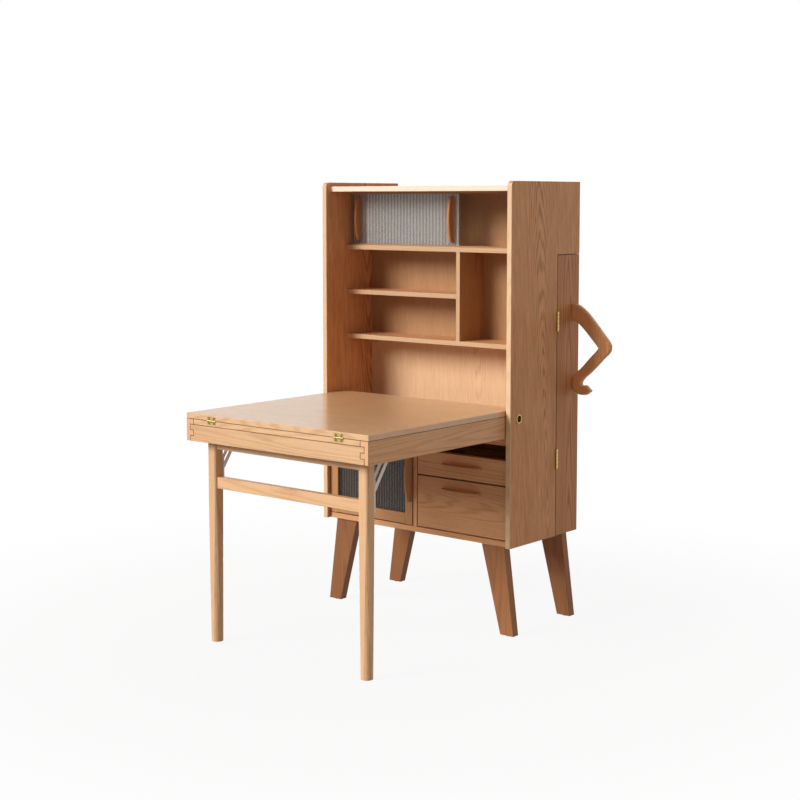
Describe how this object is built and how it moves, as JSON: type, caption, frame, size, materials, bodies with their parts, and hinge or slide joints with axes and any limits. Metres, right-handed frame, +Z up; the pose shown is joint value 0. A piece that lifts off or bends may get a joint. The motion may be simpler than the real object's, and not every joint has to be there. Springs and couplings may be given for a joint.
{
  "type": "kitchen table with storage cabinet",
  "caption": "Oak kitchen cabinet on splayed legs with shelf bays, reeded sliding glass and a fold-up table that flips open to double length on a folding leg frame",
  "frame": {"origin": "middle of the outline on the floor", "axes": "+X to the right of the cabinet, +Y to its back, +Z up"},
  "size_m": [0.966, 1.0704, 1.49],
  "materials": {
    "oak_upright": "matt oiled light oak, grain upright",
    "oak_across": "matt oiled light oak, grain across",
    "oak_lengthwise": "matt oiled light oak, grain front to back",
    "reeded_glass": "vertically reeded clear glass",
    "brass": "satin brass",
    "white_steel": "white powder coat",
    "steel": "plain steel",
    "glide_plastic": "dull plastic"
  },
  "bodies": {
    "cabinet": {"left_side_panel": "oak_upright", "right_side_panel": "oak_upright", "top_board": "oak_across", "upper_shelf": "oak_across", "middle_shelf": "oak_across", "lower_shelf": "oak_across", "bay_divider": "oak_upright", "inner_back_panel": "oak_upright", "compartment_lid": "oak_across", "rear_panel": "oak_upright", "lower_divider": "oak_upright", "niche_floor": "oak_across", "base_board": "oak_across", "pivot_bushes": "brass", "front_left_leg": "oak_upright", "front_right_leg": "oak_upright", "rear_left_leg": "oak_upright", "rear_right_leg": "oak_upright", "leg_mounting_plates": "steel", "leg_glides": "glide_plastic", "lower_pane_track": "oak_across", "upper_pane_track": "oak_across", "drawer_runners": "oak_lengthwise", "side_door_hinge_fixed_leaves": "brass"},
    "table": {"lower_leaf": "oak_across", "left_table_rail": "oak_lengthwise", "right_table_rail": "oak_lengthwise", "front_table_rail": "oak_across", "leaf_hinge_fixed_leaves": "brass", "pivot_pins": "brass", "leg_hinge_blocks": "oak_upright", "brace_slides": "white_steel"},
    "flip_leaf": {"top_leaf": "oak_across", "leaf_hinge_moving_leaves": "brass"},
    "leg_frame": {"left_table_leg": "oak_upright", "right_table_leg": "oak_upright", "leg_hinge_pins": "steel", "leg_frame_rail": "oak_across", "leg_frame_stretcher": "oak_across", "brace_shoes": "white_steel"},
    "left_strut": {"left_brace_strut": "white_steel"},
    "right_strut": {"right_brace_strut": "white_steel"},
    "right_glass": {"right_pane": "reeded_glass", "right_pane_handle": "oak_upright"},
    "left_glass": {"left_pane": "reeded_glass", "left_pane_handle": "oak_upright"},
    "glass_door": {"lower_door_frame": "oak_upright", "lower_door_glass": "reeded_glass", "lower_door_handle": "oak_upright", "lower_door_pivots": "brass"},
    "upper_drawer": {"upper_drawer_front": "oak_across", "upper_drawer_box": "oak_across", "upper_drawer_handle": "oak_across"},
    "lower_drawer": {"lower_drawer_front": "oak_across", "lower_drawer_box": "oak_across", "lower_drawer_handle": "oak_across"},
    "side_door": {"side_door_panel": "oak_upright", "side_door_hinge_moving_leaves": "brass", "arm_handle": "oak_upright"}
  },
  "joints": [
    {"name": "table_fold", "type": "hinge", "parent": "cabinet", "child": "table", "pos_m": [-0.075, 0.1855, 0.722], "axis": [-1, 0, 0], "range_deg": [0, 90]},
    {"name": "leg_frame_fold", "type": "hinge", "parent": "table", "child": "leg_frame", "pos_m": [-0.075, -0.4685, 0.679], "axis": [1, 0, 0], "range_deg": [0, 90]},
    {"name": "left_brace_fold", "type": "hinge", "parent": "leg_frame", "child": "left_strut", "pos_m": [-0.397, -0.4425, 0.572], "axis": [-1, 0, 0], "range_deg": [0, 147]},
    {"name": "right_brace_fold", "type": "hinge", "parent": "leg_frame", "child": "right_strut", "pos_m": [0.247, -0.4425, 0.572], "axis": [-1, 0, 0], "range_deg": [0, 147]},
    {"name": "top_leaf_flip", "type": "hinge", "parent": "table", "child": "flip_leaf", "pos_m": [-0.075, -0.5339, 0.732], "axis": [-1, 0, 0], "range_deg": [-180, 0]},
    {"name": "right_glass_slide", "type": "slide", "parent": "cabinet", "child": "right_glass", "axis": [1, 0, 0], "range_m": [0, 0.286]},
    {"name": "left_glass_slide", "type": "slide", "parent": "cabinet", "child": "left_glass", "axis": [1, 0, 0], "range_m": [0, 0.034]},
    {"name": "glass_door_hinge", "type": "hinge", "parent": "cabinet", "child": "glass_door", "pos_m": [-0.4585, 0.16, 0.476], "axis": [0, 0, -1], "range_deg": [0, 90]},
    {"name": "upper_drawer_slide", "type": "slide", "parent": "cabinet", "child": "upper_drawer", "axis": [0, -1, 0], "range_m": [0, 0.15]},
    {"name": "lower_drawer_slide", "type": "slide", "parent": "cabinet", "child": "lower_drawer", "axis": [0, -1, 0], "range_m": [0, 0.15]},
    {"name": "side_door_hinge", "type": "hinge", "parent": "cabinet", "child": "side_door", "pos_m": [0.337, 0.4025, 0.774], "axis": [0, 0, -1], "range_deg": [0, 105]}
  ],
  "couplings": [
    {"joint": "leg_frame_fold", "follows": "table_fold", "ratio": 1},
    {"joint": "left_brace_fold", "follows": "table_fold", "ratio": 1.6148},
    {"joint": "right_brace_fold", "follows": "table_fold", "ratio": 1.6148}
  ]
}
